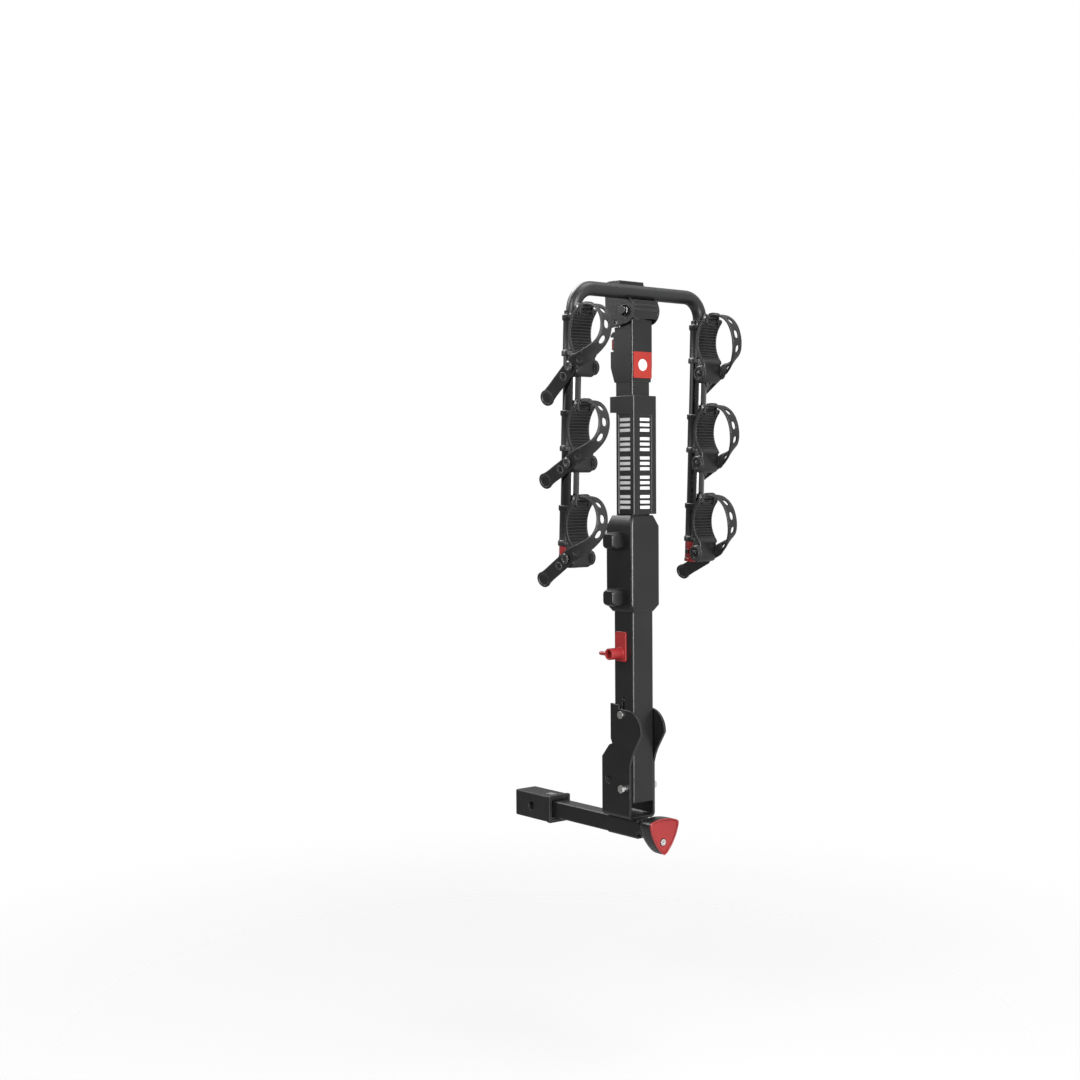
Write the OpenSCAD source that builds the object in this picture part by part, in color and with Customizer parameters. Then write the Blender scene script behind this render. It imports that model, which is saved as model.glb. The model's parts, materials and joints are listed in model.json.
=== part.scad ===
// Hitch mounted folding bike rack with two cradle arms.
// +Z up, +Y towards the vehicle, +X to the right. The origin is the centre of
// the hitch pin hole, on the axis of the hitch tube. Everything is in mm.

/* [Hitch] */
// Width of the square hitch tube
insert_w = 31.75; // [31.75:0.05:31.8]
// Wall of the hitch tube
insert_wall = 3.2; // [2.5:0.1:3.4]
// Width of the square adapter that fills a larger receiver
adapter_w = 50; // [49:0.5:50.5]
// Diameter of the hitch pin hole
pin_d = 16.3; // [16:0.1:16.6]
// Distance from the hitch pin to the middle of the mast
setback = 270; // [260:5:320]

/* [Mast] */
// Width of the lower mast tube
mast_w = 50.8; // [50:0.1:51]
// Wall of the lower mast tube
mast_wall = 2.6; // [2:0.1:2.8]
// Width of the upper mast tube
upper_w = 44.45; // [44:0.05:44.5]
// Height of the mast pivot above the hitch tube axis
pivot_z = 75; // [74:1:76]
// Height of the catch bolt above the hitch tube axis
catch_z = 206.5; // [205:0.5:208]

/* [Arms] */
// Distance between the two arms
arm_spacing = 306; // [280:2:330]
// Outside diameter of the arm tubes
arm_d = 31.75; // [31:0.05:32]
// Outside diameter of the bent top bar
bar_d = 25.4; // [25:0.1:25.4]
// Height of the top bar above the hitch tube axis
bar_z = 965; // [964:1:966]
// Backward lean of the stowed arms, in degrees
arm_lean = 2.2; // [0:0.1:3]

/* [Cradles] */
// Distance between neighbouring cradles on an arm
cradle_pitch = 165; // [160:1:170]
// Width of a cradle along the bike tube
cradle_w = 48; // [46:1:49]
// Width of a rubber strap
strap_w = 24; // [20:1:24]

/* [Hidden] */
$fn = 64;

// Running clearance on a radius, and the gap between pieces that only sit together
run = 0.05;
gap = 0.12;

// Hitch tube and its wedge clamp, measured from the middle of the mast
tube_front = -24;
tube_back = setback + 48;
flange_y = setback - 49;
sleeve_w = 34.6;
rod_r = 4;
wedge_y0 = setback - 50;
wedge_y1 = setback - 24;
wedge_tan = tan(15);
wedge_z0 = 2;
pad_y0 = setback - 41;
pad_y1 = setback - 23;
pad_w = 12.6;

// Knob at the front of the hitch tube
knob_y0 = tube_front - 3.3;
knob_face = -81;
knob_turn = 1;
lock_x = -4;
lock_z = -15;
lock_r = 6;

// Bracket, its bolts and the stop bar
plate_t = 4.8;
plate_in = mast_w / 2 + 0.6;
plate_out = plate_in + plate_t;
base_z = sleeve_w / 2 + gap;
pivot_y = -12.5;
pivot_r = 4.75;
bush_r = 7;
catch_y = 1.5;
catch_r = 6;
stop_y = 34.6;
stop_z = pivot_z + 12;
stop_r = 9;

// Mast
mast_bottom = 49;
mast_top = 560;
upper_bottom = 396;
upper_top = 880;
joint_y = 5;
joint_zs = [419.5, 521.5];
joint_r = 4.75;
lower_z0 = 393;
lower_z1 = 567;
lower_hx = 35;
shroud_z0 = 569;
shroud_z1 = 781;
shroud_hx = 28.4;
cap_z0 = 806;
cap_z1 = 916;
cap_hx = 25;
label_z = 836;
seat_z = 385;

// Tilt latch
tongue_z = 213;
tongue_top = 345;
link_y = 3.4;
link_z = 330;
guide_y = 0.3;
guide_z = 232;
latch_drop = 14;
latch_lift = 4;

// Arm hinge and its lock pin
bar_y = -18.5;
hinge_y = -14;
hinge_z = 933;
hinge_r = 5;
cheek_x = 29;
cheek_t = 3;
arm_swing = 96;
lock_dist = 30;
lock_drop_angle = 40;
pin_r = 4;

// Arms, measured from the middle of the top bar
bend_r = 40;
arm_wall = 2;
tube_top = -46;
tube_end = -481;
cap_top = -450;
first_cradle = -84;

// Cradle, measured from the middle of its sleeve; x points outwards
sleeve_h = 71;
seat_r = 52;
seat_y = -71.5;
seat_mid = 4;
anchor_y = -30;
anchor_z = 48;
stud_y = -28;
stud_z = -55;
pad_half_h = 35.5;
strap_t = 4;
tail_x = 27;
tail_drops = [[108, 88, 96], [100, 92, 98]];

function arc(cx, cy, r, a0, a1, n) =
    [for (i = [0:n]) let (a = a0 + (a1 - a0) * i / n) [cx + r * cos(a), cy + r * sin(a)]];

// ---------- shared shapes ----------

module at_mast() {
    translate([0, -setback, 0]) children();
}

module at_arms() {
    at_mast() translate([0, bar_y, bar_z]) rotate([arm_lean, 0, 0]) children();
}

// Side 1 is the right arm, side -1 the left arm; k counts down from the top
module at_cradle(side, k) {
    at_arms()
        translate([side * arm_spacing / 2, 0, first_cradle - k * cradle_pitch])
            mirror([side < 0 ? 1 : 0, 0, 0]) children();
}

module each_cradle() {
    for (side = [-1, 1], k = [0:2])
        at_cradle(side, k) children();
}

module round_rect(w, d, r) {
    square([w - 2 * r, d], center = true);
    square([w, d - 2 * r], center = true);
    for (x = [-1, 1], y = [-1, 1])
        translate([x * (w / 2 - r), y * (d / 2 - r)]) circle(r = r);
}

module box_tube(w, wall, r, length) {
    linear_extrude(length) difference() {
        round_rect(w, w, r);
        round_rect(w - 2 * wall, w - 2 * wall, max(r - wall, 0.8));
    }
}

// A square tube along +Y from y0 to y1
module y_tube(w, wall, r, y0, y1) {
    translate([0, y0, 0]) rotate([-90, 0, 0]) box_tube(w, wall, r, y1 - y0);
}

// A flat outline given as [y, z] points, standing between x0 and x1
module side_plate(x0, x1) {
    translate([x0, 0, 0]) rotate([90, 0, 90]) linear_extrude(x1 - x0) children();
}

// A round bar along X between x0 and x1
module x_bar(r, x0, x1, y, z) {
    translate([x0, y, z]) rotate([0, 90, 0]) cylinder(r = r, h = x1 - x0);
}

// A hexagon along X, given by its width across flats
module x_hex(af, x0, x1, y, z) {
    translate([x0, y, z]) rotate([0, 90, 0]) cylinder(r = af / sqrt(3), h = x1 - x0, $fn = 6);
}

// A box given by its lowest and highest corners
module block(a, b) {
    translate(a) cube(b - a);
}

module x_nut(af, r, x0, x1, y, z) {
    difference() {
        x_hex(af, x0, x1, y, z);
        x_bar(r + run, x0 - 1, x1 + 1, y, z);
    }
}

// ---------- hitch ----------

module pin_cut() {
    x_bar(pin_d / 2, -40, 40, setback, 0);
}

module pad_window() {
    block([-pad_w / 2 - 0.5, pad_y0 - 0.5, 5], [pad_w / 2 + 0.5, pad_y1 + 0.5, 40]);
}

module hitch_tube() {
    color("#202122") at_mast() difference() {
        y_tube(insert_w, insert_wall, 3.6, tube_front, tube_back);
        pin_cut();
        pad_window();
    }
}

module hitch_adapter() {
    rim_w = adapter_w + 2;
    color("#19191a") at_mast() difference() {
        union() {
            y_tube(adapter_w, 6, 3, flange_y, tube_back);
            y_tube(rim_w, 6, 3, flange_y - 8, flange_y);
            for (y = [flange_y - 4, setback - 18, tube_back - 6])
                y_tube(adapter_w - 6, (adapter_w - 6 - insert_w) / 2 - 0.2, 2, y, y + 6);
            for (x = [-1, 1])
                x_bar(pin_d / 2 + 4, x > 0 ? insert_w / 2 + 0.2 : 5 - adapter_w / 2 - 4,
                    x > 0 ? adapter_w / 2 - 1 : -insert_w / 2 - 0.2, setback, 0);
        }
        pin_cut();
        pad_window();
    }
}

module doubler_sleeve() {
    color("#202122") at_mast()
        y_tube(sleeve_w, (sleeve_w - insert_w) / 2 - gap, 4.6, tube_front, 54);
}

module bracket_outline() {
    polygon(concat(
        [[-22, base_z], [53.8, base_z], [53.8, 126], [34.5, 149], [26, 152.5], [30, 161],
            [30, 225.5], [7, 224], [7, 217.5], [-9.5, 216.5]],
        arc(-13.5, 178, 38.5, 84, 184, 14),
        [[-32, 143.6], [-26.7, 132], [-22, 117]]));
}

module mast_bracket() {
    tall = 400;
    color("#232425") at_mast() difference() {
        intersection() {
            side_plate(-40, 40) bracket_outline();
            translate([0, 60, base_z + tall / 2]) rotate([90, 0, 0])
                linear_extrude(120) difference() {
                    round_rect(2 * plate_out, tall, 9);
                    translate([0, plate_t]) round_rect(2 * plate_in, tall, 9 - plate_t);
                }
        }
        x_bar(pivot_r + run, -40, 40, pivot_y, pivot_z);
        x_bar(catch_r + run, -40, 40, catch_y, catch_z);
        x_bar(stop_r + run, -40, 40, stop_y, stop_z);
    }
}

module stop_bar() {
    color("#141415") at_mast() difference() {
        x_bar(stop_r, -plate_out + 1, plate_out - 1, stop_y, stop_z);
        for (x = [-plate_out, plate_out])
            x_bar(5, x - 4, x + 4, stop_y, stop_z);
    }
}

module catch_bolt() {
    color("#c9cbcc") at_mast() {
        x_bar(catch_r, -plate_out - 0.1, plate_out + 9, catch_y, catch_z);
        x_bar(7, -plate_out - 3, -plate_out - 0.1, catch_y, catch_z);
    }
}

module pivot_bolt() {
    color("#c9cbcc") at_mast() {
        x_bar(pivot_r, -plate_out - 10, plate_out + 8, pivot_y, pivot_z);
        x_hex(13, -plate_out - 15, -plate_out - 10, pivot_y, pivot_z);
    }
}

module bracket_nuts() {
    color("#b8babb") at_mast() {
        x_nut(18, catch_r, plate_out + 0.1, plate_out + 7.6, catch_y, catch_z);
        x_nut(14, pivot_r, plate_out + 0.1, plate_out + 7.1, pivot_y, pivot_z);
    }
}

module tube_end_cap() {
    color("#131314") at_mast() difference() {
        union() {
            translate([0, tube_front - 3, 0]) rotate([-90, 0, 0])
                linear_extrude(2.9) round_rect(insert_w, insert_w, 4);
            translate([0, tube_front - 1, 0]) rotate([-90, 0, 0])
                linear_extrude(16) round_rect(insert_w - 6.8, insert_w - 6.8, 1);
        }
        translate([0, tube_front - 5, 0]) rotate([-90, 0, 0]) cylinder(r = rod_r + 0.4, h = 30);
    }
}

// ---------- knob, lock and wedge ----------

// A three-sided outline with bulging sides and rounded corners, one corner down
module knob_outline(scale_by) {
    side_r = 98.5;
    reach = 27.3;
    corner_r = 42.3;
    rotate(-knob_turn) scale(scale_by) intersection() {
        circle(r = corner_r);
        rotate(90) translate([reach - side_r, 0]) circle(r = side_r, $fn = 180);
        rotate(210) translate([reach - side_r, 0]) circle(r = side_r, $fn = 180);
        rotate(330) translate([reach - side_r, 0]) circle(r = side_r, $fn = 180);
    }
}

// Stands a shape drawn on [x, z] between y0 and y1
module y_slab(y0, y1) {
    translate([0, y1, 0]) rotate([90, 0, 0]) linear_extrude(y1 - y0) children();
}

module lock_bore(r, y0, y1) {
    translate([lock_x, y1, lock_z]) rotate([90, 0, 0]) cylinder(r = r, h = y1 - y0);
}

module knob_body() {
    color("#161617") at_mast() difference() {
        union() {
            translate([0, knob_y0, 0]) rotate([90, 0, 0]) cylinder(r = 17, h = 12);
            hull() {
                translate([0, knob_y0 - 10, 0]) rotate([90, 0, 0]) cylinder(r = 17, h = 2, $fn = 32);
                y_slab(-56, -54) knob_outline(0.94);
            }
            y_slab(-76, -55) knob_outline(0.98);
        }
        translate([0, knob_y0 + 1, 0]) rotate([90, 0, 0]) cylinder(r = 9.1, h = 28);
        translate([0, -50, 0]) rotate([90, 0, 0]) cylinder(r = rod_r + 1, h = 24);
        lock_bore(lock_r + run, -77, -64);
    }
}

module knob_cap() {
    color("#c8323a") at_mast() difference() {
        y_slab(knob_face, -76.1) knob_outline(1);
        y_slab(knob_face - 1, knob_face + 1.6) knob_outline(0.88);
        lock_bore(lock_r + 1.5, knob_face - 2, -70);
    }
}

module knob_nut() {
    color("#b89a4c") at_mast() translate([0, knob_y0 - 0.2, 0]) rotate([90, 0, 0]) difference() {
        cylinder(r = 9, h = 24);
        translate([0, 0, -1]) cylinder(r = rod_r + run, h = 30);
    }
}

module lock_core() {
    color("#d8dadb") at_mast() difference() {
        lock_bore(lock_r, knob_face, -66);
        translate([lock_x, knob_face, lock_z]) cube([1.4, 5, 6.5], center = true);
    }
}

module draw_rod() {
    color("#a8aaab") at_mast() translate([0, -66, 0]) rotate([-90, 0, 0])
        cylinder(r = rod_r, h = wedge_y0 + 20 + 66);
}

module wedge_block() {
    rise = (wedge_y1 - wedge_y0) * wedge_tan;
    low = insert_wall - insert_w / 2 + 0.4;
    color("#7f8182") at_mast() difference() {
        side_plate(-6.5, 6.5) polygon([[wedge_y0, low], [wedge_y1, low],
            [wedge_y1, wedge_z0 + 3 + rise], [wedge_y0, wedge_z0 + 3]]);
        translate([0, wedge_y0 - 1, 0]) rotate([-90, 0, 0]) cylinder(r = rod_r + 0.03, h = 22);
    }
}

module grip_pad() {
    low = wedge_z0 + 3 + (pad_y0 - wedge_y0) * wedge_tan + 0.06;
    rise = (pad_y1 - pad_y0) * wedge_tan;
    color("#8f9192") at_mast() side_plate(-pad_w / 2, pad_w / 2)
        polygon([[pad_y0, low], [pad_y1, low + rise], [pad_y1, adapter_w / 2], [pad_y0, adapter_w / 2]]);
}

// ---------- mast ----------

// The way the catch bolt leaves the mast as the mast tips back
module catch_path() {
    r = norm([catch_y - pivot_y, catch_z - pivot_z]);
    intersection() {
        difference() {
            x_bar(r + catch_r + 0.6, -40, 40, pivot_y, pivot_z);
            x_bar(r - catch_r - 0.6, -41, 41, pivot_y, pivot_z);
        }
        block([-30, catch_y, catch_z - 60], [30, 40, catch_z + 20]);
    }
    x_bar(catch_r + 0.6, -30, 30, catch_y, catch_z);
}

// An upright slot through the left wall of the mast
module left_slot(w, y, z0, z1) {
    block([-30, y - w / 2, z0 + w / 2], [-15, y + w / 2, z1 - w / 2]);
    for (z = [z0 + w / 2, z1 - w / 2])
        x_bar(w / 2, -30, -15, y, z);
}

module lower_mast_tube() {
    color("#1d1e1f") at_mast() difference() {
        translate([0, 0, mast_bottom]) box_tube(mast_w, mast_wall, 4.2, mast_top - mast_bottom);
        x_bar(bush_r + run, -30, 30, pivot_y, pivot_z);
        catch_path();
        left_slot(4.6, guide_y, guide_z - latch_drop - 2.5, guide_z + latch_lift + 3);
        left_slot(8.6, link_y, link_z - latch_drop - 4.5, link_z + latch_lift + 4.5);
        for (z = joint_zs) x_bar(joint_r + run, -30, 30, joint_y, z);
    }
}

module pivot_bush() {
    color("#9a9c9d") at_mast() difference() {
        x_bar(bush_r, -plate_in + 0.1, plate_in - 0.1, pivot_y, pivot_z);
        x_bar(pivot_r + run, -30, 30, pivot_y, pivot_z);
    }
}

module upper_mast_tube() {
    color("#1d1e1f") at_mast() difference() {
        translate([0, 0, upper_bottom]) box_tube(upper_w, 2.5, 4, upper_top - upper_bottom);
        for (z = joint_zs) x_bar(joint_r + run, -30, 30, joint_y, z);
    }
}

// A soft-cornered slice of a moulding, centred at cy, used to build tapers
module slice(hx, hy, cy, z, r = 5) {
    translate([0, cy, z]) linear_extrude(0.02) round_rect(2 * hx, 2 * hy, r, $fn = 24);
}

module lower_sleeve() {
    hy = 35.2;
    cy = 1.6;
    color("#171718") at_mast() difference() {
        union() {
            translate([0, cy, 405]) linear_extrude(142) round_rect(2 * lower_hx, 2 * hy, 5);
            hull() {
                slice(lower_hx, hy, cy, 546.98);
                slice(27, 28.5, cy, lower_z1);
            }
            hull() {
                slice(27, 28.5, cy, lower_z0);
                slice(lower_hx, hy, cy, 405);
            }
        }
        translate([0, 0, lower_z0 - 1]) linear_extrude(mast_top - lower_z0 + 1.2)
            round_rect(mast_w + 0.4, mast_w + 0.4, 4.4);
        translate([0, 0, lower_z0]) linear_extrude(200) round_rect(upper_w + 0.4, upper_w + 0.4, 4.2);
        for (z = joint_zs) x_bar(joint_r + 0.3, -40, 40, joint_y, z);
    }
}

module joint_bolts() {
    color("#2c2d2e") at_mast() for (z = joint_zs) {
        x_bar(joint_r, -lower_hx - 0.1, lower_hx + 9, joint_y, z);
        x_hex(14, -lower_hx - 6.1, -lower_hx - 0.1, joint_y, z);
    }
}

module joint_nuts() {
    color("#2c2d2e") at_mast() for (z = joint_zs)
        x_nut(14, joint_r, lower_hx + 0.1, lower_hx + 8, joint_y, z);
}

module bolt_covers() {
    color("#121213") at_mast() for (z = joint_zs) difference() {
        hull() {
            translate([-lower_hx - 0.1, joint_y, z]) rotate([0, -90, 0])
                linear_extrude(13) round_rect(31, 31, 5, $fn = 24);
            translate([-lower_hx - 0.1, joint_y, z]) rotate([0, -90, 0])
                linear_extrude(23) round_rect(25, 25, 7, $fn = 24);
        }
        x_bar(9, -lower_hx - 8, -lower_hx + 1, joint_y, z);
    }
}

module upper_shroud() {
    front = 32.8;
    ring_back = 31.3;
    side_back = 14;
    ring_z = 752;
    panel_hx = 16;
    color("#171718") at_mast() difference() {
        union() {
            translate([0, (ring_back - front) / 2, ring_z]) linear_extrude(shroud_z1 - ring_z)
                round_rect(2 * shroud_hx, front + ring_back, 3);
            translate([0, (side_back - front) / 2, shroud_z0]) linear_extrude(shroud_z1 - shroud_z0)
                round_rect(2 * shroud_hx, front + side_back, 3);
        }
        translate([0, 0, shroud_z0 - 1]) linear_extrude(300) round_rect(upper_w + 0.3, upper_w + 0.3, 4.1);
        block([-upper_w / 2, side_back - 4, shroud_z0 - 1], [upper_w / 2, 40, ring_z]);
        block([-panel_hx, -40, shroud_z0 - 1], [panel_hx, 1.5 - front, 747]);
        for (x = [-1, 1]) translate([x * (shroud_hx + 8.5), 0, 0])
            block([-10, -25, shroud_z0 - 1], [10, 7, 747]);
    }
}

// Plain dashes set in the shroud's recessed panels
module marking_strips() {
    dash = 25;
    pitch = 34.5;
    color("#e9e9e9") at_mast() for (k = [0:4]) {
        z = 578 + k * pitch;
        block([-11.5, -31.8, z], [11.5, -31.35, z + dash]);
        for (x = [-1, 1]) translate([x * (shroud_hx - 1.55), 0, 0])
            block([-0.25 + x * 0.4, -22.5, z], [0.25 + x * 0.4, 4.5, z + dash]);
    }
}

module head_cap() {
    front = 26.3;
    back = 32.8;
    notch_z0 = 862;
    notch_z1 = 888;
    hy = (front + back) / 2;
    cy = (back - front) / 2;
    color("#1a1a1b") at_mast() difference() {
        union() {
            translate([0, cy, 833]) linear_extrude(cap_z1 - 833) round_rect(2 * cap_hx, 2 * hy, 3);
            hull() {
                slice(cap_hx - 1, 24, 0, cap_z0, 3);
                slice(cap_hx, hy, cy, 833, 3);
            }
        }
        translate([0, 0, cap_z0 - 1]) linear_extrude(200) round_rect(upper_w + 0.25, upper_w + 0.25, 4);
        block([-40, 23.4, notch_z0], [40, 50, notch_z1]);
        block([-40, 1, 905], [40, 50, 950]);
        block([-40, 20, 897], [40, 50, 950]);
        x_bar(12, -40, 40, 36, 903);
    }
}

module label_plate() {
    color("#c8323a") at_mast() y_slab(-27.3, -26.4) translate([0, label_z]) round_rect(44, 47, 2);
}

module head_bracket() {
    pin_y = hinge_y + lock_dist * cos(lock_drop_angle);
    pin_z = hinge_z - lock_dist * sin(lock_drop_angle);
    half = upper_w / 2 - 2.5 - 0.15;
    color("#2a2b2c") at_mast() difference() {
        union() {
            for (x = [-half, half - 3]) side_plate(x, x + 3) union() {
                translate([hinge_y, hinge_z]) circle(r = 17);
                translate([pin_y, pin_z]) circle(r = 6.6);
                polygon([[-18.5, 800], [12, 800], [12, 912], [13, 919], [1, 926], [-14, 930], [-18.5, 925]]);
            }
            block([-half, 9, 800], [half, 12, 890]);
        }
        x_bar(hinge_r + run, -30, 30, hinge_y, hinge_z);
        x_bar(pin_r + run, -30, 0, pin_y, pin_z);
    }
}

module hinge_bolt() {
    color("#232324") at_mast() {
        x_bar(hinge_r, -cheek_x - cheek_t - 1.6, cheek_x + cheek_t + 9, hinge_y, hinge_z);
        x_bar(10, -cheek_x - cheek_t - 1.6, -cheek_x - cheek_t - 0.1, hinge_y, hinge_z);
        x_hex(17, -cheek_x - cheek_t - 8, -cheek_x - cheek_t - 1.6, hinge_y, hinge_z);
    }
}

module hinge_nut() {
    x0 = cheek_x + cheek_t + 0.1;
    color("#232324") at_mast() x_nut(17, hinge_r, x0, x0 + 8, hinge_y, hinge_z);
}

module hinge_spacers() {
    x0 = upper_w / 2 - 2.5 - 0.1;
    color("#cfcfcf") at_mast() for (x = [-cheek_x + 0.1, x0]) difference() {
        x_bar(11, x, x + cheek_x - 0.1 - x0, hinge_y, hinge_z);
        x_bar(hinge_r + run, -40, 40, hinge_y, hinge_z);
    }
}

// ---------- latches ----------

module spring_seat() {
    color("#8f9192") at_mast() translate([0, 0, seat_z])
        linear_extrude(3) round_rect(mast_w - 2 * mast_wall - 0.3, mast_w - 2 * mast_wall - 0.3, 1.2);
}

module latch_spring() {
    wire_r = 1.15;
    coil = 2.15;
    coils = floor((seat_z - tongue_top - 1 - 2 * wire_r) / coil);
    color("#b0b2b3") at_mast() translate([0, 8, tongue_top + 0.3 + wire_r])
        for (k = [0:coils]) translate([0, 0, k * coil])
            rotate_extrude() translate([5.5, 0]) circle(r = wire_r);
}

module latch_tongue() {
    color("#8f9192") at_mast() {
        block([-8, 9, tongue_z], [8, 17, tongue_top]);
        block([-8, -4, 228], [8, 9.5, tongue_top]);
        x_bar(1.9, -mast_w / 2 - 0.4, 0, guide_y, guide_z);
        x_bar(3.9, -mast_w / 2 - 2.2, 0, link_y, link_z);
    }
}

module tilt_handle() {
    face = -mast_w / 2 - 0.15;
    boss_y = 5;
    boss_z = 318;
    color("#c8323a") at_mast() difference() {
        union() {
            translate([face - 3.6, 4, 330]) rotate([90, 0, 90])
                linear_extrude(3.6) round_rect(28, 54, 3.5);
            x_bar(10.5, face - 31, face - 3.5, boss_y, boss_z);
            translate([face - 26, boss_y, boss_z]) rotate([-90, 0, 0]) cylinder(r = 3.8, h = 26);
            translate([face - 26, boss_y + 26, boss_z]) sphere(r = 3.8);
        }
        x_bar(7.2, face - 32, face - 20, boss_y, boss_z);
        x_bar(4.1, face - 2.4, face + 1, link_y, link_z);
    }
}

module lock_pin() {
    y = hinge_y + lock_dist * cos(lock_drop_angle);
    z = hinge_z - lock_dist * sin(lock_drop_angle);
    color("#b0b2b3") at_mast() x_bar(pin_r, -cheek_x + 3.3, -5, y, z);
}

module arm_button() {
    front = 24.6;
    back = 31.4;
    color("#c8323a") at_mast() difference() {
        translate([0, back, 875]) rotate([90, 0, 0]) linear_extrude(back - front) round_rect(44, 20, 2);
        for (z = [870, 875, 880]) block([-17, back - 0.6, z - 0.7], [17, back + 1, z + 0.7]);
    }
}

// ---------- arms ----------

// The path of the top bar as a round rod of radius r
module bar_path(r, leg_end) {
    half = arm_spacing / 2;
    x_bar(r, -half + bend_r, half - bend_r, 0, 0);
    for (side = [0, 1]) mirror([side, 0, 0]) {
        translate([half - bend_r, 0, -bend_r]) rotate([90, 0, 0])
            rotate_extrude(angle = 90) translate([bend_r, 0]) circle(r = r);
        translate([half, 0, leg_end]) cylinder(r = r, h = -bend_r - leg_end);
    }
}

module u_bar() {
    color("#2b2c2d") at_arms() difference() {
        bar_path(bar_d / 2, tube_top - 55);
        bar_path(bar_d / 2 - arm_wall, tube_top - 56);
    }
}

module cheek_outline() {
    difference() {
        polygon(concat(
            arc(hinge_y, hinge_z, 24, 150, 251, 10),
            [[21, 904], [26, 906], [37, 926], [38, 972]],
            arc(28, 978, 10, 0, 90, 5),
            arc(12, 978, 10, 90, 150, 4),
            [[-3, 974], [bar_y, bar_z], [-29, 953], [-33, 950]]));
        translate([bar_y, bar_z]) circle(r = bar_d / 2 + gap);
    }
}

module arm_bracket() {
    pin_y = hinge_y + lock_dist * cos(lock_drop_angle);
    pin_z = hinge_z - lock_dist * sin(lock_drop_angle);
    color("#202122") at_mast() difference() {
        union() {
            for (x = [-cheek_x - cheek_t, cheek_x]) side_plate(x, x + cheek_t) cheek_outline();
            block([-cheek_x - 0.5, -36, 918], [cheek_x + 0.5, -33, 950]);
            for (z = [932, 940]) block([-cheek_x + 3, -37.6, z], [cheek_x - 3, -35.5, z + 2.5]);
            side_plate(-cheek_x - 0.5, cheek_x + 0.5)
                polygon([[3, 975], [6, 975], [9, 988], [2, 988], [1.6, 985]]);
        }
        x_bar(hinge_r + run, -40, 40, hinge_y, hinge_z);
        x_bar(pin_r + 0.3, -40, -20, pin_y, pin_z);
        translate([0, hinge_y, hinge_z]) rotate([-arm_swing, 0, 0]) translate([0, -hinge_y, -hinge_z])
            x_bar(pin_r + 0.3, -40, -20, pin_y, pin_z);
    }
}

// Holes of the lock plate: one for the stowed arms and one for the raised arms
module lock_plate() {
    a0 = -lock_drop_angle;
    a1 = arm_swing - lock_drop_angle;
    color("#9a9c9d") at_mast() side_plate(-cheek_x + 0.1, -cheek_x + 3) difference() {
        polygon(concat(arc(hinge_y, hinge_z, 37.5, a0 - 14, a1 + 14, 20),
            arc(hinge_y, hinge_z, 22.5, a1 + 14, a0 - 14, 14)));
        for (a = [a0, a1]) translate([hinge_y + lock_dist * cos(a), hinge_z + lock_dist * sin(a)])
            circle(r = pin_r + 0.3);
    }
}

module arm_tubes() {
    color("#0e0e0f") at_arms() for (side = [-1, 1])
        translate([side * arm_spacing / 2, 0, tube_end]) difference() {
            cylinder(r = arm_d / 2, h = tube_top - tube_end);
            translate([0, 0, -1]) cylinder(r = arm_d / 2 - arm_wall, h = tube_top - tube_end + 2);
        }
}

module arm_bushes() {
    color("#101011") at_arms() for (side = [-1, 1])
        translate([side * arm_spacing / 2, 0, 0]) difference() {
            union() {
                translate([0, 0, tube_top + 0.1]) cylinder(r = arm_d / 2, h = 5);
                translate([0, 0, tube_top - 40]) cylinder(r = arm_d / 2 - arm_wall - 0.1, h = 42);
            }
            translate([0, 0, tube_top - 60]) cylinder(r = bar_d / 2 + 0.08, h = 90);
        }
}

module arm_end_caps() {
    foot = 6;
    color("#c8323a") at_arms() for (side = [-1, 1])
        translate([side * arm_spacing / 2, 0, tube_end - foot]) difference() {
            union() {
                cylinder(r = 18, h = foot);
                cylinder(r = 17, h = cap_top - tube_end + foot);
            }
            translate([0, 0, foot - 0.2]) cylinder(r = arm_d / 2 + 0.1, h = 60);
            translate([0, 0, 19]) rotate([0, -90, 0]) cylinder(r = 2.1, h = 30);
        }
}

module end_cap_screws() {
    color("#101011") at_arms() for (side = [-1, 1])
        translate([side * arm_spacing / 2, 0, tube_end + 13]) rotate([0, -90, 0]) {
            translate([0, 0, arm_d / 2 + 0.3]) cylinder(r = 2, h = 2);
            translate([0, 0, 17.1]) cylinder(r = 4, h = 2.8);
        }
}

// ---------- cradles ----------

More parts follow.
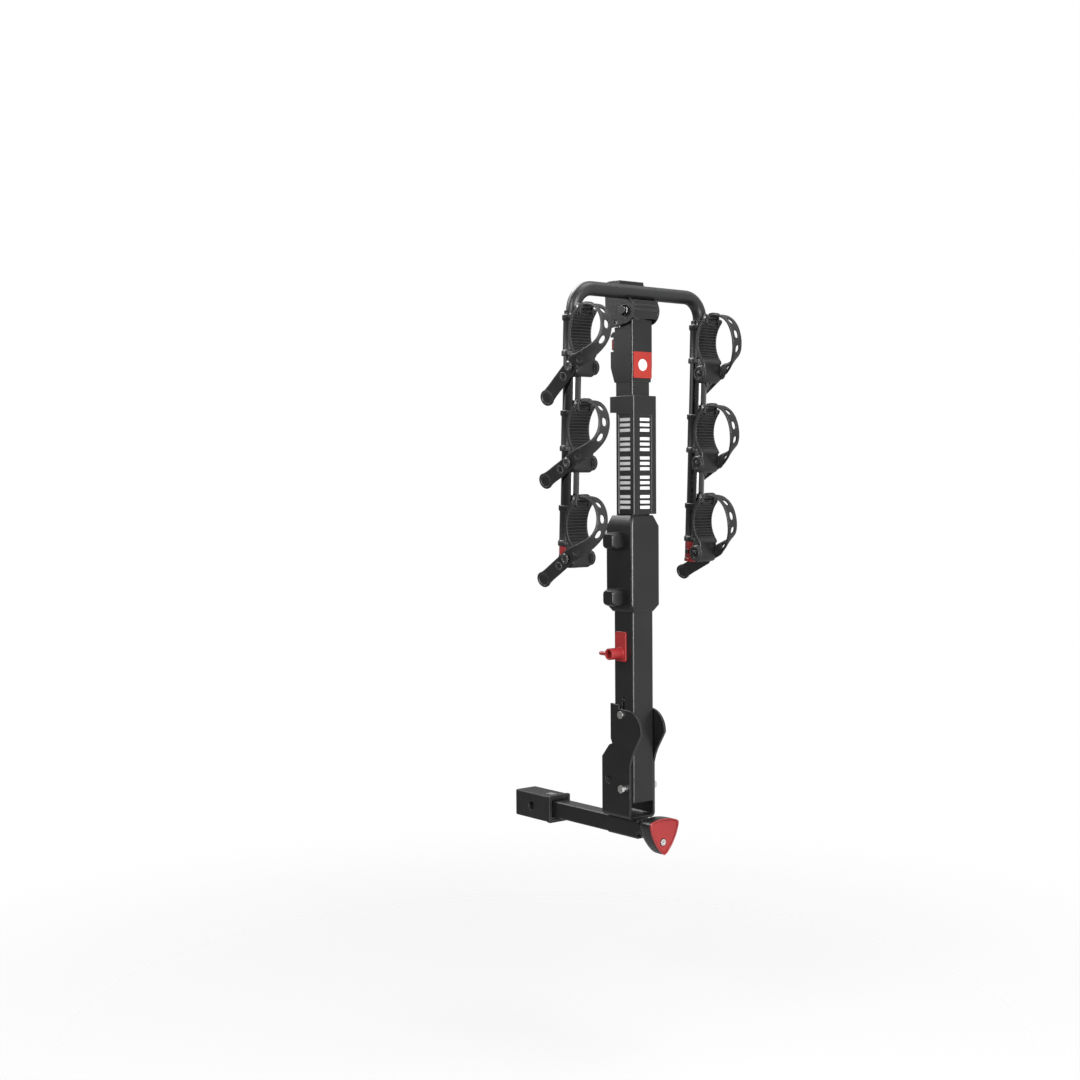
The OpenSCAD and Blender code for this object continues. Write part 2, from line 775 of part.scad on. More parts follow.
module cradle() {
    collar = 10;
    half = cradle_w / 2;
    rear = -18.2;
    difference() {
        union() {
            translate([0, 0, -sleeve_h / 2]) cylinder(r = arm_d / 2 + 1.5, h = sleeve_h);
            for (z = [-sleeve_h / 2, sleeve_h / 2 - collar])
                translate([0, 0, z]) cylinder(r = arm_d / 2 + 3.4, h = collar);
            difference() {
                union() {
                    intersection() {
                        x_bar(seat_r + 5, -half, half, seat_y, seat_mid);
                        block([-half, -36.5, seat_mid - 38], [half, 0, seat_mid + 38]);
                    }
                    block([-12, -24, -26], [12, -10, 32]);
                    side_plate(4 - half, half - 4)
                        polygon([[-37, 39], [-38, 42], [-36, 45], [-30, 46], [-24, 44], [-21, 38],
                            [-24, 33]]);
                }
                x_bar(seat_r + 1, -half - 1, half + 1, seat_y, seat_mid);
            }
            side_plate(-half + 2, half - 2) polygon(concat(
                [[rear, -30], [-36, -30]], arc(-26, -60, 11, 180, 270, 6), [[rear, -71]]));
            block([-14, -20, -35.4], [14, -16.5, -26]);
            x_bar(13, -half - 3.5, 3 - half, stud_y, stud_z);
            for (x = [-15.6, 12.3]) side_plate(x, x + 3.3) union() {
                translate([anchor_y, anchor_z]) circle(r = 6);
                polygon([[-36, 34], [-24, 32], [-24, anchor_z], [-36, anchor_z]]);
            }
        }
        translate([0, 0, -100]) cylinder(r = arm_d / 2 + 0.1, h = 200);
        x_bar(2.5 + run, -25, 25, anchor_y, anchor_z);
        x_bar(4 + run, 12, 40, stud_y, stud_z);
        block([-12.2, -60, 41], [12.2, -15, 70]);
        pad_segment(seat_r + 1, half, pad_half_h + 0.1);
    }
}

// The part of a seat-sized bar that lies against the cradle's curved front
module pad_segment(r, half_w, half_h) {
    intersection() {
        x_bar(r, -half_w, half_w, seat_y, seat_mid);
        block([-half_w, -36, seat_mid - half_h], [half_w, 0, seat_mid + half_h]);
    }
}

module cradle_pads() {
    half = cradle_w / 2 - 2;
    color("#1b1b1c") each_cradle() difference() {
        pad_segment(seat_r + 0.9, half, pad_half_h);
        x_bar(seat_r - 0.6, -half - 1, half + 1, seat_y, seat_mid);
    }
}

module strap_studs() {
    color("#101011") each_cradle() x_bar(4, 12.2, tail_x - strap_t / 2 - 0.6, stud_y, stud_z);
}

module strap_pins() {
    color("#9a9c9d") each_cradle() x_bar(2.5, -17, 17, anchor_y, anchor_z);
}

// One station of the strap's band: width along X, turned by the angle a in the side view
module band(x, y, z, a) {
    translate([x, y, z]) rotate([a, 0, 0]) cube([strap_w, 1, strap_t], center = true);
}

module strap(drop) {
    tail_a = atan2(-(drop + stud_z), 62);
    tail_l = norm([62, drop + stud_z]);
    x0 = tail_x - strap_t / 2;
    side_t = strap_t - 0.6;
    side_w = strap_w - 1;
    difference() {
        union() {
            x_bar(4.6, -12, 12, anchor_y, anchor_z);
            hull() {
                band(0, anchor_y - 3, anchor_z + 2, 0);
                band(0, -60, 50, 15);
            }
            hull() {
                band(0, -60, 50, 15);
                band(2, -83, 35, 50);
            }
            hull() {
                band(2, -83, 35, 50);
                band(6, -92, 12, 85);
            }
            hull() {
                band(6, -92, 12, 85);
                band(13, -88, -10, 110);
            }
            hull() {
                band(13, -88, -10, 110);
                translate([tail_x, -64, -27]) rotate([-35, 0, 0])
                    cube([side_t, 1, side_w], center = true);
            }
            hull() {
                translate([tail_x, -64, -27]) rotate([-35, 0, 0])
                    cube([side_t, 1, side_w], center = true);
                translate([tail_x, stud_y + 2, stud_z - 2]) rotate([tail_a, 0, 0])
                    cube([side_t, 1, side_w - 1], center = true);
            }
            side_plate(x0, x0 + strap_t) translate([stud_y, stud_z]) rotate(tail_a) {
                translate([-3, -strap_w / 2]) square([tail_l + 3, strap_w]);
                translate([tail_l, 0]) circle(r = 15);
            }
        }
        x_bar(2.5 + run, -20, 20, anchor_y, anchor_z);
    }
}

module cradle_left_top() { color("#171718") at_cradle(-1, 0) cradle(); }
module cradle_left_middle() { color("#171718") at_cradle(-1, 1) cradle(); }
module cradle_left_bottom() { color("#171718") at_cradle(-1, 2) cradle(); }
module cradle_right_top() { color("#171718") at_cradle(1, 0) cradle(); }
module cradle_right_middle() { color("#171718") at_cradle(1, 1) cradle(); }
module cradle_right_bottom() { color("#171718") at_cradle(1, 2) cradle(); }

module strap_left_top() { color("#141414") at_cradle(-1, 0) strap(tail_drops[0][0]); }
module strap_left_middle() { color("#141414") at_cradle(-1, 1) strap(tail_drops[0][1]); }
module strap_left_bottom() { color("#141414") at_cradle(-1, 2) strap(tail_drops[0][2]); }
module strap_right_top() { color("#141414") at_cradle(1, 0) strap(tail_drops[1][0]); }
module strap_right_middle() { color("#141414") at_cradle(1, 1) strap(tail_drops[1][1]); }
module strap_right_bottom() { color("#141414") at_cradle(1, 2) strap(tail_drops[1][2]); }

hitch_tube();
hitch_adapter();
doubler_sleeve();
mast_bracket();
stop_bar();
catch_bolt();
pivot_bolt();
bracket_nuts();
tube_end_cap();
knob_body();
knob_cap();
knob_nut();
lock_core();
draw_rod();
wedge_block();
grip_pad();
lower_mast_tube();
pivot_bush();
upper_mast_tube();
lower_sleeve();
joint_bolts();
joint_nuts();
bolt_covers();
upper_shroud();
marking_strips();
head_cap();
label_plate();
head_bracket();
hinge_bolt();
hinge_nut();
hinge_spacers();
spring_seat();
latch_spring();
latch_tongue();
tilt_handle();
lock_pin();
arm_button();
u_bar();
arm_bracket();
lock_plate();
arm_tubes();
arm_bushes();
arm_end_caps();
end_cap_screws();
cradle_left_top();
cradle_left_middle();
cradle_left_bottom();
cradle_right_top();
cradle_right_middle();
cradle_right_bottom();
cradle_pads();
strap_studs();
strap_pins();
strap_left_top();
strap_left_middle();
strap_left_bottom();
strap_right_top();
strap_right_middle();
strap_right_bottom();
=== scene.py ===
import bpy, bmesh, json, math
from bisect import bisect_right
from mathutils import Vector, Matrix

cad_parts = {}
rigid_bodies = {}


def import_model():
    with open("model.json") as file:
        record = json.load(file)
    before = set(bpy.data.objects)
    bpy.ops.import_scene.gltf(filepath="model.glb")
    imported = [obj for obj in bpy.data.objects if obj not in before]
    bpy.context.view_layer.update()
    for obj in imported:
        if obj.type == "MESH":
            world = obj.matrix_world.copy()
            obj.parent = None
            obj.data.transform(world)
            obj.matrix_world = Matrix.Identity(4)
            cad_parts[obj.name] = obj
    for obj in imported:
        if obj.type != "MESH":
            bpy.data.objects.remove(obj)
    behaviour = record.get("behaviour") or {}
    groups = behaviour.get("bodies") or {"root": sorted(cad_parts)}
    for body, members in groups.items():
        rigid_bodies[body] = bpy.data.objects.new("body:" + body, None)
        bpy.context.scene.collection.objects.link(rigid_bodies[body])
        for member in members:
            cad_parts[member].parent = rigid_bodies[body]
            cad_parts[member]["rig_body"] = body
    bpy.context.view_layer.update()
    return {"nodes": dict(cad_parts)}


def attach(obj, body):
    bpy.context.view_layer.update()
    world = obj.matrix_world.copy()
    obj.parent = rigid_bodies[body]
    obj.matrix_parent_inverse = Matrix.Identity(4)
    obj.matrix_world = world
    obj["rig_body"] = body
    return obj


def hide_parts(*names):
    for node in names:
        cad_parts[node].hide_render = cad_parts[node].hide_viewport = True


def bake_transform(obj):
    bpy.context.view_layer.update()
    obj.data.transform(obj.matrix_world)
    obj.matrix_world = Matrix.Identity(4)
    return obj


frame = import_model()
nodes = frame["nodes"]
MM = 0.001

# Sizes shared with the CAD, in millimetres
SETBACK = 270.0  # the mast stands this far behind the frame's origin
BAR = (-18.5, 965.0)  # y and z of the bar that carries the arms, in the mast's frame
LEAN = math.radians(2.2)
ARM_X = 153.0
FIRST = -84.0  # height of the top cradles from the bar
PITCH = 165.0
ANCHOR = (-30.0, 48.0)  # y and z of a strap's hinge, in its cradle's frame
STUD = (-28.0, -55.0)
TAIL_X = 27.0
DROPS = {"left": (108, 88, 96), "right": (100, 92, 98)}  # how far below its cradle's middle each tail ends
LEVELS = ("top", "middle", "bottom")


# ---------- materials ----------

RELIEF = 0.00012  # depth of the surface grain, m
EDGE_HIGHLIGHT_RADIUS = 0.0011  # how far the painted edge highlight reaches from an edge, m


def new_material(name):
    m = bpy.data.materials.new(name)
    m.use_nodes = True
    tree = m.node_tree
    tree.nodes.clear()
    out = tree.nodes.new("ShaderNodeOutputMaterial")
    bsdf = tree.nodes.new("ShaderNodeBsdfPrincipled")
    tree.links.new(bsdf.outputs[0], out.inputs[0])
    return m, tree, bsdf


def feed(tree, node, **values):
    """Sets or links inputs by number, such as i0=0.5 or i1=other.outputs[0], and returns the node."""
    for key, value in values.items():
        socket = node.inputs[int(key[1:])]
        if isinstance(value, bpy.types.NodeSocket):
            tree.links.new(value, socket)
        else:
            socket.default_value = value
    return node


def map_range(tree, source, lo, hi, to_lo, to_hi, smooth=False):
    """Maps source from lo..hi to to_lo..to_hi."""
    node = tree.nodes.new("ShaderNodeMapRange")
    if smooth:
        node.interpolation_type = "SMOOTHSTEP"
    return feed(tree, node, i0=source, i1=lo, i2=hi, i3=to_lo, i4=to_hi).outputs[0]


def maths(tree, operation, a, b):
    node = tree.nodes.new("ShaderNodeMath")
    node.operation = operation
    return feed(tree, node, i0=a, i1=b).outputs[0]


def dot(tree, a, b):
    node = tree.nodes.new("ShaderNodeVectorMath")
    node.operation = "DOT_PRODUCT"
    return feed(tree, node, i0=a, i1=b).outputs["Value"]


def noise(tree, scale, vector=None, detail=2.0, roughness=0.5):
    node = tree.nodes.new("ShaderNodeTexNoise")
    node.inputs["Scale"].default_value = scale
    node.inputs["Detail"].default_value = detail
    node.inputs["Roughness"].default_value = roughness
    if vector:
        tree.links.new(vector, node.inputs["Vector"])
    return node.outputs[0]


def mix_color(tree, share, a, b):
    node = tree.nodes.new("ShaderNodeMix")
    node.data_type = "RGBA"
    return feed(tree, node, i0=share, i6=a, i7=b).outputs[2]


def rounded_normal(tree, radius):
    """The surface normal as if every edge had this radius, m."""
    node = tree.nodes.new("ShaderNodeBevel")
    node.samples = 4
    node.inputs["Radius"].default_value = radius
    return node.outputs[0]


def finish_material(name, low, high, rough, grain=900.0, bump=0.15, metal=0.0, coat=0.0, spec=0.5, edge=0.0,
                    edge_color=(0.3, 0.3, 0.3), grain_kind="noise", streak=None, bevel=0.0006):
    """A painted, moulded or plated surface: two tones mixed by cloudy noise, uneven roughness, fine relief and a
    painted highlight: edges lightened towards edge_color in noisy patches."""
    m, tree, bsdf = new_material(name)
    coords = tree.nodes.new("ShaderNodeTexCoord").outputs["Object"]
    cloud = noise(tree, 14.0, coords, 5.0)
    color = mix_color(tree, map_range(tree, cloud, 0.35, 0.68, 0.0, 1.0), (*low, 1), (*high, 1))

    mapping = feed(tree, tree.nodes.new("ShaderNodeMapping"), i0=coords)
    if streak:
        mapping.inputs["Scale"].default_value = streak
    if grain_kind == "noise":
        height = noise(tree, grain, mapping.outputs[0], 3.0)
    else:
        cells = tree.nodes.new("ShaderNodeTexVoronoi")
        cells.inputs["Scale"].default_value = grain
        tree.links.new(mapping.outputs[0], cells.inputs["Vector"])
        height = cells.outputs["Distance"]
    relief = tree.nodes.new("ShaderNodeBump")
    relief.inputs["Strength"].default_value = bump
    relief.inputs["Distance"].default_value = RELIEF
    tree.links.new(height, relief.inputs["Height"])
    tree.links.new(rounded_normal(tree, bevel), relief.inputs["Normal"])
    tree.links.new(relief.outputs[0], bsdf.inputs["Normal"])

    patches = noise(tree, 38.0, coords, 6.0, 0.62)
    tree.links.new(map_range(tree, patches, 0.0, 1.0, *rough), bsdf.inputs["Roughness"])
    # painted highlight: edges are lightened towards edge_color, in patches set by the noise
    if edge > 0:
        true_normal = tree.nodes.new("ShaderNodeNewGeometry").outputs["Normal"]
        near_edge = dot(tree, true_normal, rounded_normal(tree, EDGE_HIGHLIGHT_RADIUS))
        edge_highlight = maths(tree, "MULTIPLY", map_range(tree, near_edge, 0.995, 0.8, 0.0, edge), patches)
        color = mix_color(tree, edge_highlight, color, (*edge_color, 1))
    tree.links.new(color, bsdf.inputs["Base Color"])
    bsdf.inputs["Metallic"].default_value = metal
    bsdf.inputs["Coat Weight"].default_value = coat
    bsdf.inputs["Coat Roughness"].default_value = 0.08
    bsdf.inputs["Specular IOR Level"].default_value = spec
    return m


# edge and edge_color give each material its painted highlight along the edges
POWDER = finish_material("powder_coat_satin_black", (0.0085, 0.0086, 0.0091), (0.0115, 0.0117, 0.0122),
                         (0.26, 0.38), grain=1500, bump=0.5, spec=0.42, edge=0.9, edge_color=(0.26, 0.26, 0.265))
BAR_COAT = finish_material("powder_coat_bar", (0.011, 0.0112, 0.0117), (0.0145, 0.0147, 0.0153), (0.3, 0.42),
                           grain=1400, bump=0.35, spec=0.48)
ADAPTER = finish_material("painted_adapter", (0.0075, 0.0075, 0.008), (0.011, 0.011, 0.0115), (0.45, 0.6), grain=1100,
                          bump=0.5, spec=0.38, edge=0.8, edge_color=(0.22, 0.22, 0.22))
GLOSS = finish_material("gloss_coat_black", (0.003, 0.003, 0.0032), (0.0048, 0.0048, 0.005), (0.07, 0.13), grain=160,
                        bump=0.05, coat=0.6, spec=0.55)
PLASTIC = finish_material("moulded_plastic_black", (0.0082, 0.0083, 0.0086), (0.0112, 0.0113, 0.0117), (0.24, 0.36),
                          grain=1250, bump=0.4, spec=0.42, grain_kind="voronoi", edge=0.95)
CRADLE = finish_material("cradle_plastic_black", (0.0055, 0.0055, 0.0058), (0.0085, 0.0085, 0.0088), (0.3, 0.44),
                         grain=1100, bump=0.35, spec=0.45, grain_kind="voronoi", edge=0.8,
                         edge_color=(0.22, 0.22, 0.22))
RUBBER = finish_material("strap_rubber_black", (0.0062, 0.0062, 0.0065), (0.0105, 0.0105, 0.011), (0.46, 0.6),
                         grain=520, bump=0.35, spec=0.42, bevel=0.0005, edge=0.9, edge_color=(0.32, 0.32, 0.32))
STUD_BLACK = finish_material("stud_black", (0.012, 0.012, 0.0122), (0.02, 0.02, 0.0204), (0.14, 0.26), grain=500,
                             bump=0.2, spec=0.7, edge=0.9, edge_color=(0.4, 0.4, 0.4))
RED = finish_material("red_plastic", (0.31, 0.017, 0.018), (0.36, 0.022, 0.023), (0.3, 0.42), grain=900, bump=0.25,
                      spec=0.5, edge=0.4, edge_color=(0.7, 0.22, 0.22))
LABEL = finish_material("label_red_film", (0.36, 0.017, 0.009), (0.41, 0.021, 0.012), (0.3, 0.42), bump=0.1)
ZINC = finish_material("zinc_plate", (0.62, 0.62, 0.6), (0.76, 0.76, 0.74), (0.2, 0.36), grain=300, bump=0.25,
                       metal=1.0)
BLACK_OXIDE = finish_material("black_oxide_steel", (0.05, 0.05, 0.052), (0.1, 0.1, 0.104), (0.16, 0.3), grain=700,
                              bump=0.3, metal=1.0, edge=0.8, edge_color=(0.55, 0.55, 0.55))
STEEL = finish_material("machined_steel", (0.38, 0.38, 0.39), (0.5, 0.5, 0.51), (0.25, 0.4), grain=240, bump=0.25,
                        metal=1.0, streak=(1, 1, 0.08))
BRASS = finish_material("brass_insert", (0.55, 0.4, 0.16), (0.66, 0.5, 0.22), (0.25, 0.4), grain=300, bump=0.2,
                        metal=1.0)
NYLON = finish_material("natural_nylon", (0.6, 0.6, 0.58), (0.7, 0.7, 0.68), (0.4, 0.55), grain=600, bump=0.2)
WHITE = finish_material("white_film", (0.72, 0.72, 0.72), (0.82, 0.82, 0.82), (0.45, 0.6), grain=900, bump=0.1)


# ---------- mesh building ----------

def make_piece(name, bm, material, body, replaces=(), sharp=36, weighted=True):
    """Turns bm into a shaded mesh piece that stands for the CAD nodes in replaces and rides on a body, if any."""
    bmesh.ops.remove_doubles(bm, verts=bm.verts, dist=1e-7)
    bmesh.ops.recalc_face_normals(bm, faces=bm.faces)
    for f in bm.faces:
        f.smooth = True
    for e in bm.edges:
        e.smooth = not (e.is_manifold and e.calc_face_angle(0.0) > math.radians(sharp))
    me = bpy.data.meshes.new(name)
    bm.to_mesh(me)
    bm.free()
    ob = bpy.data.objects.new(name, me)
    bpy.context.scene.collection.objects.link(ob)
    me.materials.append(material)
    if weighted:
        w = ob.modifiers.new("weighted", "WEIGHTED_NORMAL")
        w.keep_sharp = True
        w.weight = 80
    if body:
        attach(ob, body)
    if replaces:
        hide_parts(*replaces)
    return ob


def bevel_sharp(bm, width, segments=2, angle=28):
    """Bevels every edge that folds by more than angle, in degrees."""
    edges = [e for e in bm.edges if e.is_manifold and e.calc_face_angle(0.0) > math.radians(angle)]
    if edges:
        bmesh.ops.bevel(bm, geom=edges, offset=width, segments=segments, profile=0.5, affect="EDGES",
                        clamp_overlap=False)


def soften(node, width, material):
    """A carried CAD node rebuilt with clean faces and rounded edges."""
    o = nodes[node]
    body = o["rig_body"]
    bm = bmesh.new()
    bm.from_mesh(o.data)
    bmesh.ops.remove_doubles(bm, verts=bm.verts, dist=2e-6)
    bmesh.ops.dissolve_limit(bm, angle_limit=math.radians(0.4), verts=bm.verts, edges=bm.edges)
    bevel_sharp(bm, width * MM)
    return make_piece(node + "_rounded", bm, material, body, (node,))


def add_loft(bm, rings_co, closed=False):
    """A skin of quads through equal rings of points, capped at both ends or, if closed, joined end to end."""
    rings = [[bm.verts.new(c) for c in ring] for ring in rings_co]
    count = len(rings)
    for i in range(count if closed else count - 1):
        a, b = rings[i], rings[(i + 1) % count]
        for j in range(len(a)):
            k = (j + 1) % len(a)
            bm.faces.new((a[j], a[k], b[k], b[j]))
    if not closed:
        bm.faces.new(rings[0])
        bm.faces.new(rings[-1][::-1])


def add_lathe(bm, profile, origin, axis, segments=48):
    """Turns a closed [radius, height] outline about an axis; heights run along the axis from origin."""
    z = Vector(axis).normalized()
    x = z.orthogonal().normalized()
    y = z.cross(x)
    rings = []
    for k in range(segments):
        a = 2 * math.pi * k / segments
        d = x * math.cos(a) + y * math.sin(a)
        rings.append([Vector(origin) + d * (r * MM) + z * (h * MM) for r, h in profile])
    add_loft(bm, rings, True)


def solid_profile(points):
    """Closes an open outline whose ends lie almost on the axis."""
    return [(0.01, points[0][1])] + list(points) + [(0.01, points[-1][1])]


def add_prism(bm, outline, lo, hi, place, bevel=0.0, segments=2):
    """An outline of [y, z] points extruded along x between lo and hi, then bevelled and placed."""
    part = bmesh.new()
    a = [part.verts.new((lo * MM, y * MM, z * MM)) for y, z in outline]
    b = [part.verts.new((hi * MM, y * MM, z * MM)) for y, z in outline]
    n = len(outline)
    part.faces.new(a[::-1])
    part.faces.new(b)
    for i in range(n):
        j = (i + 1) % n
        part.faces.new((a[i], a[j], b[j], b[i]))
    bmesh.ops.recalc_face_normals(part, faces=part.faces)
    if bevel:
        bevel_sharp(part, bevel * MM, segments)
    merge(bm, part, place)


def merge(bm, part, place):
    """Moves part by place and adds it to bm."""
    me = bpy.data.meshes.new("part")
    part.transform(place)
    if place.determinant() < 0:
        bmesh.ops.reverse_faces(part, faces=part.faces)
    part.to_mesh(me)
    part.free()
    bm.from_mesh(me)
    bpy.data.meshes.remove(me)


def arc_points(cy, cz, r, a0, a1, n):
    """n + 1 points on an arc about (cy, cz) from a0 to a1 degrees."""
    return [(cy + r * math.cos(math.radians(a0 + (a1 - a0) * i / n)),
             cz + r * math.sin(math.radians(a0 + (a1 - a0) * i / n))) for i in range(n + 1)]


# ---------- carried CAD nodes ----------

SOFT = {
    "mast_bracket": (0.7, POWDER), "lower_mast_tube": (0.5, POWDER), "upper_mast_tube": (0.5, POWDER),
    "hitch_tube": (0.5, POWDER), "hitch_adapter": (0.8, ADAPTER), "doubler_sleeve": (0.4, POWDER),
    "head_bracket": (0.5, POWDER), "arm_bracket": (0.5, POWDER),
    "upper_shroud": (0.8, PLASTIC), "bolt_covers": (0.9, PLASTIC),
    "tube_end_cap": (0.6, PLASTIC), "tilt_handle": (0.8, RED), "arm_button": (0.5, RED), "label_plate": (0.25, LABEL),
    "arm_end_caps": (0.7, RED), "catch_bolt": (0.7, ZINC), "pivot_bolt": (0.5, ZINC),
    "bracket_nuts": (0.5, ZINC), "lock_core": (0.3, ZINC), "hinge_bolt": (0.7, BLACK_OXIDE),
    "hinge_nut": (0.6, BLACK_OXIDE), "joint_nuts": (0.5, BLACK_OXIDE), "joint_bolts": (0.5, BLACK_OXIDE),
    "stop_bar": (0.7, BLACK_OXIDE), "end_cap_screws": (0.5, BLACK_OXIDE), "lock_plate": (0.3, STEEL),
    "arm_bushes": (0.5, PLASTIC), "hinge_spacers": (0.4, NYLON),
}
AS_CAD = {
    "u_bar": BAR_COAT, "arm_tubes": GLOSS, "knob_nut": BRASS, "draw_rod": STEEL, "wedge_block": STEEL,
    "grip_pad": STEEL, "pivot_bush": STEEL, "spring_seat": STEEL, "latch_tongue": BLACK_OXIDE,
    "lock_pin": STEEL, "strap_pins": STEEL,
}
for node, (width, material) in SOFT.items():
    soften(node, width, material)
for node, material in AS_CAD.items():
    nodes[node].data.materials.clear()
    nodes[node].data.materials.append(material)


# ---------- knob ----------

KNOB_SIDE_R, KNOB_REACH, KNOB_CORNER_R = 98.5, 27.3, 42.3  # bulge of a side, its distance and the corners' limit
KNOB_NECK_R, KNOB_BLUNT_R = 17.2, 36.5
KNOB_TURN = math.radians(1)
LOCK_Z = -15  # the lock's middle, below the knob's axis


def mast_point(x, y, z):
    """A point of the mast's frame, given in millimetres."""
    return Vector((x, y - SETBACK, z)) * MM


def knob_radius(a):
    """The three-sided outline's radius at an angle, one corner down."""
    a += KNOB_TURN
    best = KNOB_CORNER_R
    off = KNOB_SIDE_R - KNOB_REACH
    for side in (90, 210, 330):
        # the ray's exit from a circle of radius KNOB_SIDE_R centred at distance off on the far side
        b = off * math.cos(a - math.radians(side))
        best = min(best, -b + math.sqrt(b * b - off * off + KNOB_SIDE_R * KNOB_SIDE_R))
    return best


def knob_ring(y, share, scale):
    """A section of the knob: share runs from the round neck at 0 to the three-sided outline at 1."""
    ring = []
    count = 120
    for k in range(count):
        a = 2 * math.pi * k / count
        tri = knob_radius(a) * scale
        soft = min(tri, KNOB_BLUNT_R * scale) * 0.35 + tri * 0.65
        r = KNOB_NECK_R * scale * (1 - share) + soft * share if share < 1 else soft
        ring.append(mast_point(r * math.cos(a), y, r * math.sin(a)))
    return ring


bm = bmesh.new()
add_loft(bm, [knob_ring(y, s, k) for y, s, k in (
    (-27.4, 0, 0.9), (-28.0, 0, 0.97), (-29.2, 0, 1.0), (-33.5, 0, 1.0), (-36, 0.02, 1.0), (-39, 0.12, 1.0),
    (-42, 0.3, 1.0), (-45, 0.52, 1.0), (-48, 0.72, 1.0), (-51, 0.86, 1.0), (-54, 0.94, 0.99), (-57, 0.98, 0.985),
    (-60, 1, 0.98), (-72.5, 1, 0.985), (-74.2, 1, 0.975), (-75.3, 1, 0.965), (-75.9, 1, 0.945))])
knob = make_piece("knob_body_shaped", bm, PLASTIC, "knob", ("knob_body",))


def cutter(name, r, origin, axis, length):
    """A round bar, used by cut() and then removed."""
    part = bmesh.new()
    add_lathe(part, solid_profile([(r, 0), (r, length)]), origin, axis, 40)
    bmesh.ops.remove_doubles(part, verts=part.verts, dist=1e-7)
    bmesh.ops.recalc_face_normals(part, faces=part.faces)
    me = bpy.data.meshes.new(name)
    part.to_mesh(me)
    part.free()
    return bpy.data.objects.new(name, me)


def cut(ob, tools):
    """Cuts the tools out of a piece and applies the result."""
    for tool in tools:
        bpy.context.scene.collection.objects.link(tool)
        b = ob.modifiers.new("cut", "BOOLEAN")
        b.operation, b.solver, b.object = "DIFFERENCE", "EXACT", tool
    for m in [m for m in ob.modifiers if m.type == "WEIGHTED_NORMAL"]:
        ob.modifiers.remove(m)
    bpy.context.view_layer.update()
    dg = bpy.context.evaluated_depsgraph_get()
    me = bpy.data.meshes.new_from_object(ob.evaluated_get(dg))
    ob.modifiers.clear()
    ob.data = me
    for tool in tools:
        bpy.data.objects.remove(tool)
    w = ob.modifiers.new("weighted", "WEIGHTED_NORMAL")
    w.keep_sharp = True


cut(knob, [cutter("nut_hole", 9.3, mast_point(0, -20, 0), (0, -1, 0), 35),
           cutter("rod_hole", 5.2, mast_point(0, -50, 0), (0, -1, 0), 24.2),
           cutter("lock_hole", 6.3, mast_point(-4, -90, LOCK_Z), (0, 1, 0), 26)])


# ---------- sleeve and head cap ----------

def rect_ring(z, hx, hy, r, cy=0.0):
    """A soft-cornered rectangle in the mast's frame at height z."""
    ring = []
    for sx, sy, start in ((1, 1, 0), (-1, 1, 90), (-1, -1, 180), (1, -1, 270)):
        for k in range(7):
            a = math.radians(start + 15 * k)
            ring.append(mast_point(sx * (hx - r) + r * math.cos(a), cy + sy * (hy - r) + r * math.sin(a), z))
    return ring


def mast_shell(node, width, stations, tools=()):
    """A hollow moulding on the mast: stations go up the outside and come back down the bore."""
    part = bmesh.new()
    add_loft(part, [rect_ring(*station) for station in stations], True)
    ob = make_piece(node + "_moulded", part, PLASTIC, "mast", (node,), weighted=False)
    if tools:
        cut(ob, tools)
        ob.modifiers.clear()
    rounded = ob.modifiers.new("rounded", "BEVEL")
    rounded.width, rounded.segments, rounded.limit_method = width * MM, 2, "ANGLE"
    rounded.angle_limit = math.radians(40)
    w = ob.modifiers.new("weighted", "WEIGHTED_NORMAL")
    w.keep_sharp = True
    return ob


def box_tool(name, lo, hi):
    """A box of the mast's frame between two corners, used by cut()."""
    part = bmesh.new()
    bmesh.ops.create_cube(part, size=1)
    size = Vector(hi) - Vector(lo)
    for v in part.verts:
        v.co = mast_point(*[l + (c + 0.5) * d for l, c, d in zip(lo, v.co, size)])
    me = bpy.data.meshes.new(name)
    part.to_mesh(me)
    part.free()
    return bpy.data.objects.new(name, me)


mast_shell("lower_sleeve", 1.0, [
    (393, 27, 28.5, 6, 1.6), (405, 35, 35.2, 6, 1.6), (547, 35, 35.2, 6, 1.6), (566.8, 27, 28.5, 6, 1.6),
    (566.8, 22.45, 22.45, 4.2), (560.3, 22.45, 22.45, 4.2), (560.3, 25.65, 25.65, 4.4), (393, 25.65, 25.65, 4.4)])
mast_shell("head_cap", 0.8, [
    (806, 24, 24, 3), (833, 25, 29.55, 3, 3.25), (916, 25, 29.55, 3, 3.25), (916, 22.4, 22.4, 3),
    (806, 22.4, 22.4, 3)],
    [box_tool("notch", (-40, 23.4, 862), (40, 50, 888)), box_tool("rear", (-40, 20, 897), (40, 50, 950)),
     box_tool("top", (-40, 1, 905), (40, 50, 950)), cutter("scoop", 12, mast_point(-40, 36, 903), (1, 0, 0), 80)])

# Plain bars in the shroud's three panels, in five groups of three
BARS_Z, GROUP_PITCH, BAR_PITCH, BAR_H = 578.5, 34.5, 9.6, 5.6
PANELS = ((-31.85, -31.3, -11.5, 11.5), (-22.5, 4.5, -27.35, -26.8), (-22.5, 4.5, 26.8, 27.35))  # y then x ranges
mast_place = Matrix.Translation((0, -SETBACK * MM, 0))
bm = bmesh.new()
for group in range(5):
    for step in range(3):
        z = BARS_Z + group * GROUP_PITCH + step * BAR_PITCH
        for y0, y1, x0, x1 in PANELS:
            add_prism(bm, [(y0, z), (y1, z), (y1, z + BAR_H), (y0, z + BAR_H)], x0, x1, mast_place)
make_piece("marking_bars", bm, WHITE, "mast", ("marking_strips",), weighted=False)

